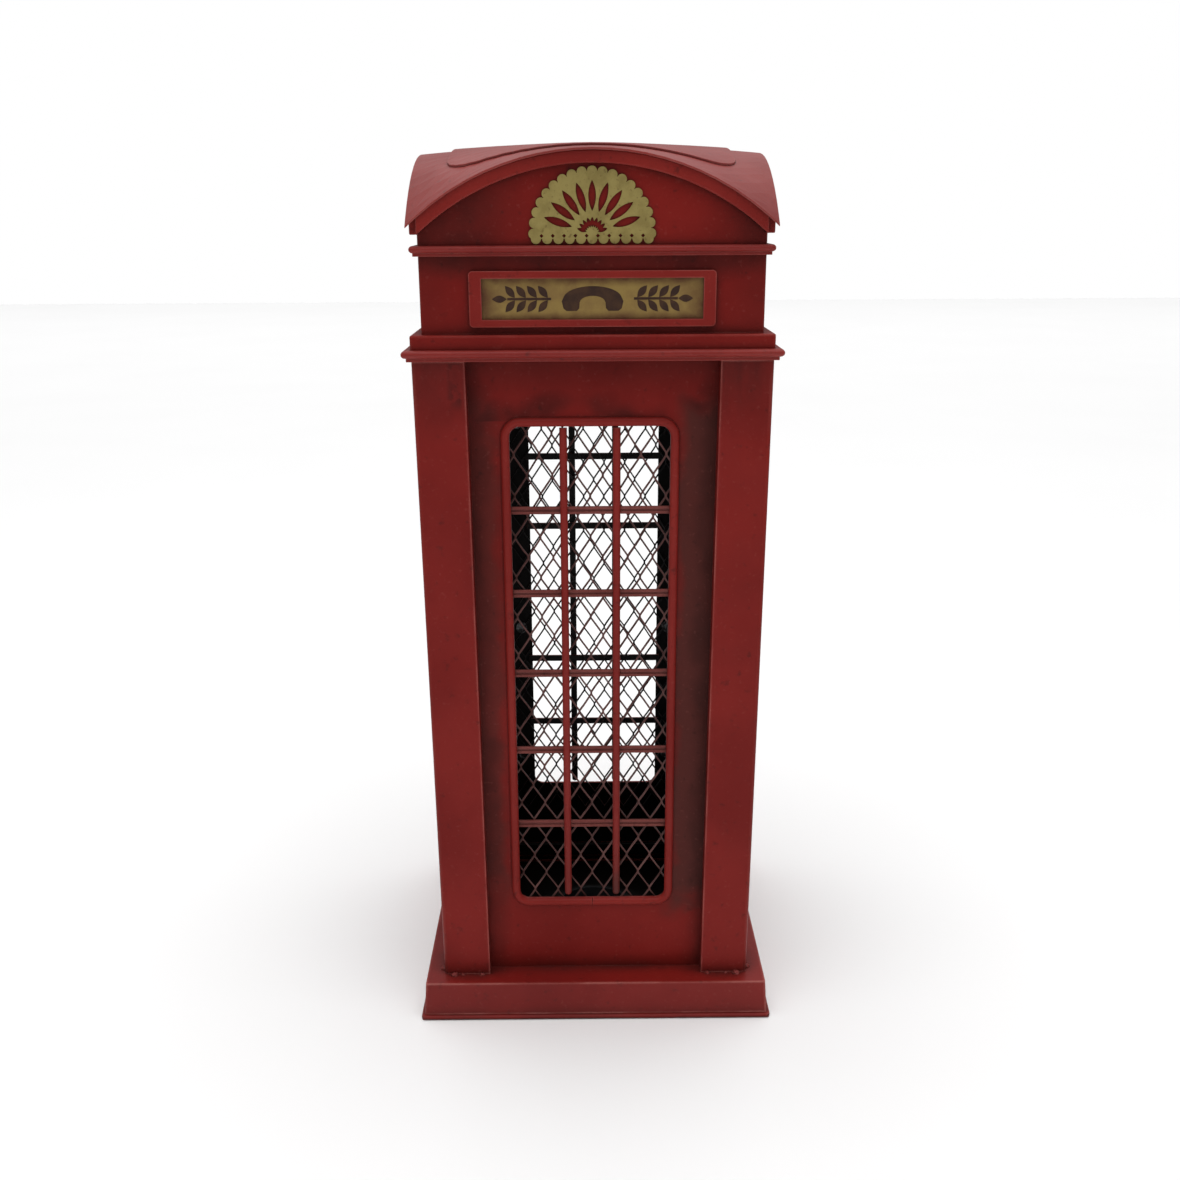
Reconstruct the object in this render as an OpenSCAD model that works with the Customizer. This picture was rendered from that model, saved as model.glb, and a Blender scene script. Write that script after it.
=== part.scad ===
// Miniature sheet-metal telephone booth, made as a money box.
// Millimetres, +Z up, origin at the middle of the underside, front face towards -Y.

/* [Body] */
// Width and depth over the corner posts
body_w = 88; // [78:1:120]
// Height of the corner posts and wall panels
cabin_h = 181.6; // [165:0.1:260]
// Thickness of the folded sheet
sheet_t = 0.6; // [0.4:0.1:0.8]
// Width of one face of a corner post
post_face = 13.3; // [9:0.1:15]
// How far the head of each post leans outwards of its foot
post_lean = 1.2; // [0:0.1:1.5]
// How far the posts stand proud of the panels
panel_recess = 3.8; // [2.4:0.1:6]
// Radius of the fold down each post
fold_r = 1.0; // [0.8:0.1:2]

/* [Base] */
// Step from the feet of the posts out to the plinth's top edge
plinth_step = 5; // [2:0.1:10]
// How far the plinth widens from its top to its foot
plinth_flare = 0.6; // [0:0.1:2]
// Height of the plinth's top above the floor
plinth_top = 11.3; // [10:0.1:25]
// Step from the plinth's foot out to the hemmed edge of the base plate
lip_step = 1; // [1:0.1:4]
// Corner radius of the base plate
lip_r = 1.5; // [0.5:0.1:3]
// Thickness of the hemmed edge
lip_t = 1.4; // [1.2:0.1:2.4]
// Width of the hem folded back under the plinth wall
hem_w = 3.5; // [3:0.1:6]

/* [Stopper] */
// Radius of the emptying hole
hole_r = 14; // [10:0.5:16]
// Depth of the pressed dish round the hole
dish_h = 3.2; // [3:0.1:5]
// Gap between the stopper and the hole
stopper_gap = 0.08; // [0.02:0.02:0.1]
// Width of the stopper's flange beyond the hole
flange_w = 3; // [2:0.1:5]
// Height of the plug above the base plate
plug_h = 5; // [3:0.1:10]

/* [Windows] */
// Clear width of each window
window_w = 41.4; // [30:0.1:48]
// Clear height of each window
window_h = 136; // [100:0.1:145]
// How far each window sits left of the middle of its panel
window_slip = 0.8; // [0:0.1:1.5]
// Height of the sill above the plinth
sill_h = 22.9; // [12:0.1:28]
// Radius of the clear corners
window_r = 2.7; // [1.5:0.1:5]
// Width of the half-round rim strip
rim_w = 2.4; // [1.6:0.1:4]
// Gap where the ends of the rim strip meet
rim_gap = 0.2; // [0.1:0.1:0.5]
// Columns of panes
pane_cols = 3; // [2:1:5]
// Rows of panes
pane_rows = 6; // [3:1:8]
// Width of an upright bar
upright_w = 2.0; // [1.2:0.1:3]
// Height of a crossbar
crossbar_h = 2.0; // [1.4:0.1:3]
// Thickness of a crossbar
crossbar_t = 0.8; // [0.6:0.1:1.2]
// Length of each crossbar's end behind the panel
bar_lap = 1; // [0.5:0.1:1.2]
// How far the crossbars sit above even spacing
bar_rise = 0.6; // [0:0.1:1]
// Gap left below the foot of an upright
bar_gap = 0.7; // [0.3:0.1:1.5]

/* [Mesh] */
// Width of one diamond, middle of strand to middle of strand
diamond_w = 6.6; // [5:0.1:10]
// Height of one diamond
diamond_h = 11; // [8:0.1:16]
// Width of a strand
strand_w = 0.46; // [0.4:0.02:1]
// Thickness of the mesh
mesh_t = 0.6; // [0.4:0.1:1]

/* [Cornice and frieze] */
// Height of the cornice band
cornice_h = 6.3; // [5:0.1:12]
// How far the cornice band stands out of the heads of the posts
cornice_step = 0.1; // [0:0.1:0.3]
// Height of the upper, rounded part of the cornice bead
bead_h = 1.9; // [1.2:0.1:3]
// How far the cornice bead stands out of its band
bead_out = 2.1; // [1.2:0.1:3]
// Height of the flat under the cornice bead
flat_h = 0.9; // [0.5:0.1:1.5]
// How far that flat stands out
flat_out = 1.0; // [0.4:0.1:1.2]
// Step from the feet of the posts in to the frieze
frieze_step = 1.4; // [1:0.1:2.4]
// Height of the frieze box
frieze_h = 19.9; // [16:0.1:35]
// Height of the upper, rounded part of the string course bead
string_h = 1.7; // [1.2:0.1:3]
// How far the string course bead stands out
string_out = 2; // [1.3:0.1:4]
// Height of the flat under the string course bead
string_flat_h = 0.8; // [0.5:0.1:1.5]
// How far that flat stands out
string_flat_out = 1.2; // [0.4:0.1:1.2]

/* [Sign] */
// Width of the sign frame
sign_w = 60.8; // [40:0.1:64]
// Height of the sign frame
sign_h = 13.4; // [10:0.1:13.8]
// Width of the frame's upright sides
sign_side = 3.1; // [1.5:0.1:5]
// Width of the frame's top and bottom
sign_rail = 1.8; // [1:0.1:3]
// Corner radius of the frame
sign_r = 1; // [0.3:0.1:1.5]
// How far the frame stands out
sign_out = 1.2; // [0.8:0.1:2]
// Thickness of the plate inside the frame
plate_t = 0.4; // [0.3:0.1:0.6]
// Height of the frame's foot above the cornice
sign_lift = 1.8; // [0.5:0.1:2]

/* [Roof] */
// Overhang of the roof beyond the frieze
roof_over = 2.6; // [2.2:0.1:6]
// Fall of an arched edge from its middle to the corner of the roof
arch_fall = 17.7; // [12:0.1:20]
// Height from the top of the frieze box to the top of an arched edge
gable_h = 23.5; // [22.5:0.1:32]
// Rise of the middle of the roof above the arched edges
crown_h = 1.8; // [0.5:0.1:8]
// Width of the arch band under the roof
band_w = 2.9; // [2:0.1:4]
// How far the arch band stands out of the gable
band_out = 1.9; // [1:0.1:2]
// Half the width of the raised plate on the roof
cap_half = 36; // [26:0.5:38]
// Corner radius of that plate
cap_r = 9; // [3:0.5:14]
// Thickness of that plate
cap_t = 0.6; // [0.4:0.1:1]
// Length of the coin slot
slot_l = 36; // [26:0.5:40]
// Width of the coin slot
slot_w = 5; // [4.6:0.1:8]

/* [Ornament] */
// Thickness of the pierced ornament
orn_t = 0.5; // [0.3:0.1:1]
// Radius of the half-round fan
fan_r = 14.3; // [8:0.1:14.5]
// Rays pierced in the fan
fan_rays = 9; // [5:2:13]
// Beads round the fan
fan_beads = 19; // [11:2:25]
// Radius of a bead on the ornament
orn_bead_r = 1.2; // [0.6:0.1:1.3]

/* [Hidden] */
SIDES = ["front", "right", "back", "left"];
CORNERS = ["front_left", "front_right", "back_right", "back_left"];
SIDE_PARTS = ["panel", "window_rim", "window_mesh", "uprights", "crossbars",
    "sign_frame", "sign_plate", "gable", "arch_band", "ornament"];
$fn = 48;
// Smallest step, where two shapes of one piece must run into each other
eps = 0.01;
// How far a cutting shape runs past what it cuts
over = 1;

// Half widths of the nested squares that the booth is built from
post_half = body_w / 2;
panel_half = post_half - panel_recess;
plinth_half = post_half + plinth_step;
plinth_foot_half = plinth_half + plinth_flare;
base_half = plinth_foot_half + lip_step;
head_half = post_half + post_lean;
cornice_half = head_half + cornice_step;
frieze_half = post_half - frieze_step;
band_half = frieze_half + band_out;
roof_half = frieze_half + roof_over;

// Dish in the base plate, with room for fingers round the stopper's flange
finger_gap = 5;
dish_r = hole_r + flange_w + finger_gap;

// Levels above the floor
panel_top = plinth_top + cabin_h;
cornice_top = panel_top + sheet_t;
cornice_foot = cornice_top - cornice_h;
frieze_top = cornice_top + frieze_h;
window_foot = plinth_top + sill_h;
window_mid = window_foot + window_h / 2;
post_h = cornice_foot - plinth_top;
edge_peak = frieze_top + gable_h;
arch_r = (roof_half * roof_half + arch_fall * arch_fall) / (2 * arch_fall);
arch_mid = edge_peak - arch_r;
string_foot = frieze_top - (string_flat_h + string_h) / 2;
string_top = string_foot + string_flat_h + string_h;

// Layers of a window, measured outwards from the middle of the booth
panel_back = panel_half - sheet_t;
mesh_face = panel_back - crossbar_t;
ledge_half = panel_back - crossbar_t - mesh_t;

// Ends of the bars
upright_top = window_foot + window_h - bar_gap / 2;
upright_foot = window_foot + bar_gap;

// ---- plan helpers ----
module square_of(half) {
    square(2 * half, center = true);
}

module square_ring(outer, inner, h) {
    linear_extrude(h) difference() {
        square_of(outer);
        square_of(inner);
    }
}

// Everything drawn for the front face, turned to face one of the four sides
module on_side(i) {
    rotate([0, 0, 90 * i]) children();
}

// A front-face drawing, x across and y up, given a thickness outwards from the plane at depth d
module on_front(d, t) {
    translate([0, -d, 0]) rotate([90, 0, 0]) linear_extrude(t) children();
}

// The same, measured across from the middle of the window
module on_window(d, t) {
    translate([-window_slip, 0, 0]) on_front(d, t) children();
}

// A square solid whose four sides all have the same full-width profile, mitred at the corners
module mitred(half) {
    intersection() {
        rotate([90, 0, 0]) linear_extrude(2 * half, center = true) children();
        rotate([90, 0, 90]) linear_extrude(2 * half, center = true) children();
    }
}

module rounded_rect(w, h, r) {
    square([w - 2 * r, h], center = true);
    square([w, h - 2 * r], center = true);
    for (x = [-1, 1]) for (y = [-1, 1])
        translate([x * (w / 2 - r), y * (h / 2 - r)]) circle(r);
}

// ---- base ----
// Full-width section of the hemmed edge, rounded at its outer ends
module hem_profile() {
    r = lip_t / 2;
    translate([0, r]) square([2 * (base_half - r), lip_t], center = true);
    for (s = [-1, 1]) translate([s * (base_half - r), r]) circle(r);
}

module base_plate() {
    hem_inner = plinth_half - hem_w;
    color("#6f2326") difference() {
        union() {
            difference() {
                intersection() {
                    mitred(base_half + over) hem_profile();
                    linear_extrude(2 * lip_t) rounded_rect(2 * base_half, 2 * base_half, lip_r);
                }
                translate([0, 0, -over]) linear_extrude(lip_t + 2 * over) square_of(hem_inner);
            }
            linear_extrude(sheet_t) square_of(hem_inner + eps);
            cylinder(h = dish_h + sheet_t, r = dish_r + sheet_t);
        }
        translate([0, 0, -over]) cylinder(h = dish_h + over, r = dish_r);
        cylinder(h = dish_h + sheet_t + over, r = hole_r);
    }
}

module stopper() {
    seat_gap = 0.1;
    grip_t = 2.4;
    flange_t = 1.4;
    grip_h = 1.1;
    plug_wall = 2;
    plug_r = hole_r - stopper_gap;
    top = dish_h - seat_gap;
    chamfer = 1;
    color("#2a2a2c") {
        translate([0, 0, top - flange_t]) cylinder(h = flange_t, r = hole_r + flange_w);
        translate([0, 0, top]) rotate_extrude() polygon([
            [plug_r - plug_wall, 0], [plug_r, 0], [plug_r, plug_h + sheet_t - chamfer],
            [plug_r - chamfer, plug_h + sheet_t], [plug_r - plug_wall, plug_h + sheet_t]]);
        translate([0, 0, top - flange_t - grip_h / 2])
            cube([2 * hole_r, grip_t, grip_h], center = true);
    }
}

// Half width of the plinth at height z
function plinth_at(z) = plinth_half + plinth_flare * (plinth_top - z) / (plinth_top - lip_t);

// Full-width section of the sloping walls between two heights, inset by t
module plinth_walls(low, high, t) {
    foot = plinth_at(low) - t;
    head = plinth_at(high) - t;
    polygon([[-foot, low], [foot, low], [head, high], [-head, high]]);
}

module plinth() {
    half = plinth_foot_half + over;
    color("#7c2529") difference() {
        mitred(half) plinth_walls(lip_t, plinth_top, 0);
        mitred(half) plinth_walls(lip_t - over, plinth_top - sheet_t, sheet_t);
        linear_extrude(plinth_top + over) square_of(ledge_half);
    }
}

// ---- posts ----
// The block that one corner post fills, drawn for the front left corner and inset by t.
// Its arms reach past the panels' faces, where the post is cut off.
module post_block(t, r) {
    arm = post_face - 2 * t;
    deep = panel_recess + post_lean + over - t;
    translate([t - post_half, t - post_half]) {
        translate([r, 0]) square([arm - r, deep]);
        translate([0, r]) square([deep, arm - r]);
        translate([r, r]) circle(r);
    }
}

// A folded channel round the corner. It leans outwards and is cut flush to the panels, plinth and cornice.
module post() {
    lean = atan(post_lean * sqrt(2) / post_h);
    color("#7f2226") difference() {
        intersection() {
            translate([-post_half, -post_half, plinth_top]) rotate(a = lean, v = [1, -1, 0])
                translate([post_half, post_half, -over]) linear_extrude(post_h + 2 * over) difference() {
                    post_block(0, fold_r);
                    post_block(sheet_t, fold_r - sheet_t);
                }
            translate([0, 0, plinth_top]) linear_extrude(post_h) square_of(base_half);
        }
        translate([0, 0, plinth_top - over]) linear_extrude(post_h + 2 * over) square_of(panel_half);
    }
}

// ---- walls and windows ----
// The front and back panels run the full width and the side panels fit between them
module panel(full) {
    half = full ? panel_half : panel_back;
    color("#742427") on_front(panel_back, sheet_t) difference() {
        translate([-half, plinth_top]) square([2 * half, cabin_h]);
        translate([-window_slip, window_mid]) rounded_rect(window_w, window_h, window_r);
    }
}

module half_round(w) {
    difference() {
        circle(w / 2);
        translate([0, -w]) square(2 * w, center = true);
    }
}

// A half-round strip bent round the window, its two ends meeting in the middle of the sill
module window_rim() {
    x = window_w / 2 - window_r;
    z = window_h / 2 - window_r;
    bend = window_r + rim_w / 2;
    color("#8a2a2e") translate([-window_slip, -panel_half, window_mid]) rotate([90, 0, 0]) {
        for (s = [-1, 1]) {
            translate([s * (x + bend), z, 0]) rotate([90, 0, 0]) linear_extrude(2 * z) half_round(rim_w);
            translate([-x, s * (z + bend), 0]) rotate([90, 0, 90]) linear_extrude(x - rim_gap / 2)
                half_round(rim_w);
            translate([rim_gap / 2, s * (z + bend), 0]) rotate([90, 0, 90])
                linear_extrude(x - rim_gap / 2) half_round(rim_w);
            for (q = [-1, 1]) translate([s * x, q * z, 0])
                rotate([0, 0, s > 0 ? (q > 0 ? 0 : -90) : (q > 0 ? 90 : 180)])
                rotate_extrude(angle = 90) translate([bend, 0]) half_round(rim_w);
        }
        translate([-rim_gap / 2, z + bend, 0]) rotate([90, 0, 90]) linear_extrude(rim_gap)
            half_round(rim_w);
    }
}

// Uprights are half round, stand in the thickness of the panel and end in a rounded foot
module uprights() {
    pitch = window_w / pane_cols;
    r = upright_w / 2;
    color("#8a2b2e") for (k = [1 : pane_cols - 1])
        translate([k * pitch - window_w / 2 - window_slip, -panel_back, 0]) difference() {
            union() {
                translate([0, 0, upright_foot + r]) cylinder(h = upright_top - upright_foot - r, r = r);
                translate([0, 0, upright_foot + r]) sphere(r);
            }
            translate([-upright_w, 0, 0]) cube([2 * upright_w, upright_w, panel_top]);
        }
}

// Crossbars are shallow channels behind the uprights, with their ends behind the panel
module crossbars() {
    groove_h = crossbar_h * 0.3;
    groove_d = crossbar_t / 2;
    len = window_w + 2 * bar_lap;
    pitch = window_h / pane_rows;
    color("#6b2427") for (k = [1 : pane_rows - 1])
        translate([-len / 2 - window_slip, -panel_back, window_foot + k * pitch + bar_rise])
        rotate([90, 0, 90])
        linear_extrude(len) difference() {
            translate([0, -crossbar_h / 2]) square([crossbar_t, crossbar_h]);
            translate([0, -groove_h / 2]) square([groove_d, groove_h]);
        }
}

// Expanded mesh: rows of diamonds, every second row shifted by half a diamond
diamond_side = norm([diamond_w, diamond_h]);
open_w = diamond_w / 2 - strand_w / 2 * diamond_side / diamond_h;
open_h = diamond_h / 2 - strand_w / 2 * diamond_side / diamond_w;
mesh_cols = 1 + ceil((window_w / 2 - open_w) / diamond_w);
mesh_rows = 1 + ceil((window_h / 2 - open_h) / diamond_h);
mesh_half_w = mesh_cols * diamond_w + strand_w / 2;
mesh_half_h = mesh_rows * diamond_h + strand_w / 2;

module window_mesh() {
    centres = concat(
        [for (i = [1 - mesh_cols : mesh_cols - 1]) for (j = [1 - mesh_rows : mesh_rows - 1])
            [i * diamond_w, j * diamond_h]],
        [for (i = [-mesh_cols : mesh_cols - 1]) for (j = [-mesh_rows : mesh_rows - 1])
            [(i + 0.5) * diamond_w, (j + 0.5) * diamond_h]]);
    border = [[-mesh_half_w, -mesh_half_h], [mesh_half_w, -mesh_half_h],
        [mesh_half_w, mesh_half_h], [-mesh_half_w, mesh_half_h]];
    holes = [for (c = centres) for (d = [[open_w, 0], [0, open_h], [-open_w, 0], [0, -open_h]]) c + d];
    paths = concat([[0, 1, 2, 3]],
        [for (k = [0 : len(centres) - 1]) [for (m = [0 : 3]) 4 + 4 * k + m]]);
    color("#3a2020") translate([0, 0, window_mid]) on_window(mesh_face - mesh_t, mesh_t)
        polygon(concat(border, holes), paths);
}

// Blobs that hold each mesh off the back of its panel, beside the lowest, middle and highest panes
module solder_tabs() {
    tab_r = 1.8;
    pitch = window_h / pane_rows;
    rows = [0, floor((pane_rows - 1) / 2), pane_rows - 1];
    inner = window_w / 2 + bar_lap;
    x = (inner + mesh_half_w) / 2;
    color("#8d8f92") for (i = [0 : 3]) on_side(i) for (s = [-1, 1]) for (row = rows)
        translate([s * x - window_slip, -mesh_face, window_foot + (row + 0.5) * pitch])
            rotate([90, 0, 0]) cylinder(h = crossbar_t, r = tab_r);
}

// Small domes of solder on the plinth against the foot of each post
module foot_solder() {
    blob_r = 1.1;
    inset = 3;
    face = post_half + post_lean * blob_r / post_h;
    color("#7d2528") for (i = [0 : 3]) on_side(i) for (s = [-1, 1])
        translate([s * (post_half - inset), -face, plinth_top]) difference() {
            sphere(blob_r);
            translate([0, 0, -blob_r]) cube(2 * blob_r, center = true);
            translate([0, blob_r, 0]) cube([2 * blob_r, 2 * blob_r, 3 * blob_r], center = true);
        }
}

// ---- cornice and frieze ----
module cornice_band() {
    inner = cornice_half - sheet_t;
    color("#6a2225") {
        translate([0, 0, cornice_foot]) square_ring(cornice_half, inner, cornice_h);
        translate([0, 0, panel_top]) square_ring(inner + eps, panel_back - sheet_t, sheet_t);
    }
}

// A full-width bar with rounded ends
module bar_profile(half, foot, h) {
    r = h / 2;
    translate([0, foot + r]) square([2 * (half - r), h], center = true);
    for (s = [-1, 1]) translate([s * (half - r), foot + r]) circle(r);
}

// A square ring round walls of the given half width: a rounded bead over a narrower flat
module bead(half, foot, flat_h, flat_out, round_h, round_out) {
    difference() {
        union() {
            mitred(half + round_out + over) bar_profile(half + round_out, foot + flat_h, round_h);
            translate([0, 0, foot]) linear_extrude(flat_h + round_h / 2) square_of(half + flat_out);
        }
        translate([0, 0, foot - over]) linear_extrude(flat_h + round_h + 2 * over) square_of(half);
    }
}

module cornice_bead() {
    color("#8e3034") bead(cornice_half, cornice_foot, flat_h, flat_out, bead_h, bead_out);
}

module frieze() {
    color("#701f23") translate([0, 0, cornice_top])
        square_ring(frieze_half, frieze_half - sheet_t, frieze_h);
}

module string_bead() {
    color("#8a2c30") bead(frieze_half, string_foot, string_flat_h, string_flat_out, string_h, string_out);
}

module sign_frame() {
    color("#862b2f") translate([0, 0, cornice_top + sign_lift + sign_h / 2])
        on_front(frieze_half, sign_out) difference() {
            rounded_rect(sign_w, sign_h, sign_r);
            square([sign_w - 2 * sign_side, sign_h - 2 * sign_rail], center = true);
        }
}

module sign_plate() {
    color("#84713c") translate([0, 0, cornice_top + sign_lift + sign_h / 2])
        on_front(frieze_half, plate_t)
        square([sign_w - 2 * sign_side, sign_h - 2 * sign_rail], center = true);
}

// ---- roof ----
// How far an arched edge has fallen at t from its middle: 0 at the middle and 1 at the corners
function fall(t) = (arch_r - sqrt(arch_r * arch_r - t * t)) / arch_fall;
// Top surface of the roof: four equal arched edges with a low crown between them
function roof_z(x, y) = edge_peak - arch_fall * fall(x) * fall(y)
    + crown_h * (1 - fall(x)) * (1 - fall(y));

// Lines of the roof's grid, with one over each face that touches its underside
roof_cells = 20;
inner_lines = [for (k = [0 : roof_cells]) frieze_half * (2 * k / roof_cells - 1)];
roof_lines = concat([-roof_half, -band_half], inner_lines, [band_half, roof_half]);
line_count = len(roof_lines);

// A skin between two offsets from the roof's top surface
module roof_skin(low, high) {
    n = line_count;
    points = [for (dz = [high, low]) for (y = roof_lines) for (x = roof_lines) [x, y, roof_z(x, y) + dz]];
    layer = n * n;
    cells = [for (j = [0 : n - 2]) for (i = [0 : n - 2]) j * n + i];
    top = [for (a = cells) each [[a, a + n, a + n + 1], [a, a + n + 1, a + 1]]];
    under = [for (a = cells) each [
        [layer + a, layer + a + n + 1, layer + a + n], [layer + a, layer + a + 1, layer + a + n + 1]]];
    front = [for (i = [0 : n - 2]) [i, i + 1, layer + i + 1, layer + i]];
    back = [for (i = [0 : n - 2]) let (a = layer - n + i) [a + 1, a, layer + a, layer + a + 1]];
    left = [for (j = [0 : n - 2]) let (a = j * n) [a + n, a, layer + a, layer + a + n]];
    right = [for (j = [0 : n - 2]) let (a = j * n + n - 1) [a, a + n, layer + a + n, layer + a]];
    polyhedron(points, concat(top, under, front, back, left, right));
}

module coin_slot() {
    translate([0, 0, edge_peak])
        cube([slot_l, slot_w, 2 * (crown_h + cap_t + over)], center = true);
}

module roof_sheet() {
    color("#8c3034") difference() {
        roof_skin(-sheet_t, 0);
        coin_slot();
    }
}

module roof_cap() {
    color("#8c3236") difference() {
        intersection() {
            roof_skin(0, cap_t);
            linear_extrude(edge_peak + crown_h + cap_t + over)
                rounded_rect(2 * cap_half, 2 * cap_half, cap_r);
        }
        coin_slot();
    }
}

// Underside of the roof along a line at depth d, at t from its middle
function under_roof(t, d) = lookup(t, [for (x = roof_lines) [x, roof_z(x, d) - sheet_t]]);

// Points of a roof-hugging top edge from right to left, between -half and half
function top_edge(half, d) = [for (k = [line_count - 1 : -1 : 0])
    if (abs(roof_lines[k]) < half - eps) [roof_lines[k], under_roof(roof_lines[k], d)]];

module gable(full) {
    half = full ? frieze_half : frieze_half - sheet_t;
    ends = [[half, under_roof(half, frieze_half)], [-half, under_roof(half, frieze_half)]];
    color("#6f1f22") on_front(frieze_half - sheet_t, sheet_t)
        polygon(concat([[-half, frieze_top], [half, frieze_top], ends[0]],
            top_edge(half, frieze_half), [ends[1]]));
}

module arch_band() {
    half = frieze_half;
    top_z = under_roof(half, band_half);
    inner_r = arch_r - band_w;
    color("#7d292c") on_front(frieze_half, band_out) difference() {
        polygon(concat([[-half, string_top], [half, string_top], [half, top_z]],
            top_edge(half, band_half), [[-half, top_z]]));
        translate([0, arch_mid - sheet_t]) circle(inner_r, $fn = 180);
        translate([-half, string_top - over]) square([2 * half, over + eps]);
    }
}

// A pointed oval of length l and width w, its foot at the origin
module petal(l, w) {
    r = (l * l + w * w) / (4 * w);
    translate([0, l / 2]) intersection() {
        translate([r - w / 2, 0]) circle(r, $fn = 96);
        translate([w / 2 - r, 0]) circle(r, $fn = 96);
    }
}

// A half-round fan on a beaded foot, with beads round it and its rays pierced between hub and rim
module ornament() {
    gap = 0.25;
    foot_z = 2 * orn_bead_r;
    foot_beads = 10;
    foot_pitch = (2 * fan_r - orn_bead_r) / foot_beads;
    notch = 0.5;
    ray_from = fan_r * 0.36;
    ray_l = fan_r * 0.5;
    ray_w = fan_r * 0.13;
    hub_from = fan_r * 0.1;
    hub_l = fan_r * 0.17;
    color("#9a8a4e") translate([0, 0, string_top + gap]) on_front(frieze_half, orn_t) difference() {
        union() {
            translate([0, foot_z]) intersection() {
                circle(fan_r, $fn = 120);
                translate([-fan_r, 0]) square([2 * fan_r, fan_r]);
            }
            translate([-fan_r, foot_z / 2]) square([2 * fan_r, foot_z / 2 + eps]);
            for (k = [0 : foot_beads])
                translate([(k - foot_beads / 2) * foot_pitch, orn_bead_r]) circle(orn_bead_r);
            translate([0, foot_z]) for (k = [0 : fan_beads - 1])
                rotate(180 * k / (fan_beads - 1)) translate([fan_r, 0]) circle(orn_bead_r);
        }
        for (k = [0 : foot_beads - 1])
            translate([(k + 0.5 - foot_beads / 2) * foot_pitch, foot_z - notch]) circle(notch, $fn = 4);
        translate([0, foot_z]) for (k = [1 : fan_rays]) rotate(180 * k / (fan_rays + 1) - 90) {
            translate([0, ray_from]) petal(ray_l, ray_w);
            translate([0, hub_from]) petal(hub_l, ray_w / 2);
        }
    }
}

// ---- the assembly ----
base_plate();
stopper();
plinth();
for (i = [0 : 3]) {
    on_side(i) post();
    on_side(i) panel(i % 2 == 0);
    on_side(i) window_rim();
    on_side(i) window_mesh();
    on_side(i) uprights();
    on_side(i) crossbars();
    on_side(i) sign_frame();
    on_side(i) sign_plate();
    on_side(i) gable(i % 2 == 0);
    on_side(i) arch_band();
    on_side(i) ornament();
}
solder_tabs();
foot_solder();
cornice_band();
cornice_bead();
frieze();
string_bead();
roof_sheet();
roof_cap();
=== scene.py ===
import math

import bmesh
import bpy
from mathutils import Matrix, Vector, noise


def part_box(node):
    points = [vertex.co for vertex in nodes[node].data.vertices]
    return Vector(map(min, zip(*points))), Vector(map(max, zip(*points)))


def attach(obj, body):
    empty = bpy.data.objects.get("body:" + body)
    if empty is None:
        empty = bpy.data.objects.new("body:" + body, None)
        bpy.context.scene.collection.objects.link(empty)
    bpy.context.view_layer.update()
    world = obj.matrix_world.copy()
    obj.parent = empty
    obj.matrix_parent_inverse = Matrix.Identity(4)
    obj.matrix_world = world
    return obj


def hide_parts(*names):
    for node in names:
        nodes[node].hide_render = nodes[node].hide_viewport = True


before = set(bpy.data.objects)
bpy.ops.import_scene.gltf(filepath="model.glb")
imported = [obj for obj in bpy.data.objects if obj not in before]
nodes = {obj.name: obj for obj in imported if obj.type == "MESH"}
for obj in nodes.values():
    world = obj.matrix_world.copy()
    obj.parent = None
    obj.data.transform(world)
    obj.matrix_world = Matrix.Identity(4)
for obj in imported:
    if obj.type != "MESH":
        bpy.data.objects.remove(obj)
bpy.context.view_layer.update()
scene = bpy.context.scene

MM = 0.001
SIDES = ("front", "right", "back", "left")

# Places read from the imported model
PANEL_LOW, PANEL_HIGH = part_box("panel_front")
POST_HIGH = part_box("post_front_left")[1]
MESH_LOW, MESH_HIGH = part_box("window_mesh_front")
RIM_LOW, RIM_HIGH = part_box("window_rim_front")
PLATE_LOW, PLATE_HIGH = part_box("sign_plate_front")
FRIEZE_LOW, FRIEZE_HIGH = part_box("frieze")
SOLDER_LOW, SOLDER_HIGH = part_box("foot_solder")
PLINTH_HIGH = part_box("plinth")[1]

# Half widths of the squares inside which a sheet is black like the inside of the cabin: each ends just
# inside the outer face of the plinth, the panels and the frieze
FLOOR_LIMIT = PLINTH_HIGH.x - 1.8 * MM
CABIN_LIMIT = -PANEL_LOW.y - 0.7 * MM
ROOF_LIMIT = -FRIEZE_LOW.y - 0.4 * MM


# ---- camera, light and floor ----
def add_camera():
    """Stands a little above the cornice and looks down at the front."""
    pitch = math.radians(18.712)
    yaw = math.radians(0.31)
    roll = math.radians(-0.309)
    forward = Vector((math.sin(yaw) * math.cos(pitch), math.cos(yaw) * math.cos(pitch),
                      -math.sin(pitch)))
    level = Vector((math.cos(yaw), -math.sin(yaw), 0))
    above = level.cross(forward)
    right = level * math.cos(roll) + above * math.sin(roll)
    up = above * math.cos(roll) - level * math.sin(roll)
    data = bpy.data.cameras.new("camera")
    data.sensor_width = 36
    data.lens = 39.93
    data.shift_y = 0.0508
    data.clip_start = 0.01
    camera = bpy.data.objects.new("camera", data)
    camera.matrix_world = Matrix((right, up, -forward)).transposed().to_4x4()
    camera.location = (-0.0029, -0.376, 0.22348)
    scene.collection.objects.link(camera)
    scene.camera = camera


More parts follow.
